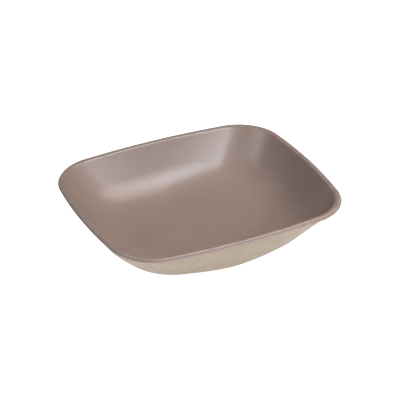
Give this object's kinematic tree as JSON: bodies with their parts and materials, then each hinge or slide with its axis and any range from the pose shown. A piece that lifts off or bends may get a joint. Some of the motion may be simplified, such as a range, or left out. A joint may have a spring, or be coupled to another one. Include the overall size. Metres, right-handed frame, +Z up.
{
  "type": "kidney dish",
  "caption": "Shallow rounded-rectangular hospital dish with flared walls, a stepped rolled rim and a flat base, made of a bowl nested in a paler outer shell.",
  "frame": {"origin": "centre of the flat base, on the surface that the dish stands on", "axes": "+X along the long side, +Y across the dish, +Z up out of the open bowl"},
  "size_m": [0.25, 0.214, 0.05],
  "materials": {
    "dish_plastic": "satin taupe moulded plastic",
    "shell_plastic": "satin pale beige moulded plastic"
  },
  "bodies": {
    "root": {"inner_dish": "dish_plastic", "outer_shell": "shell_plastic"}
  },
  "joints": []
}
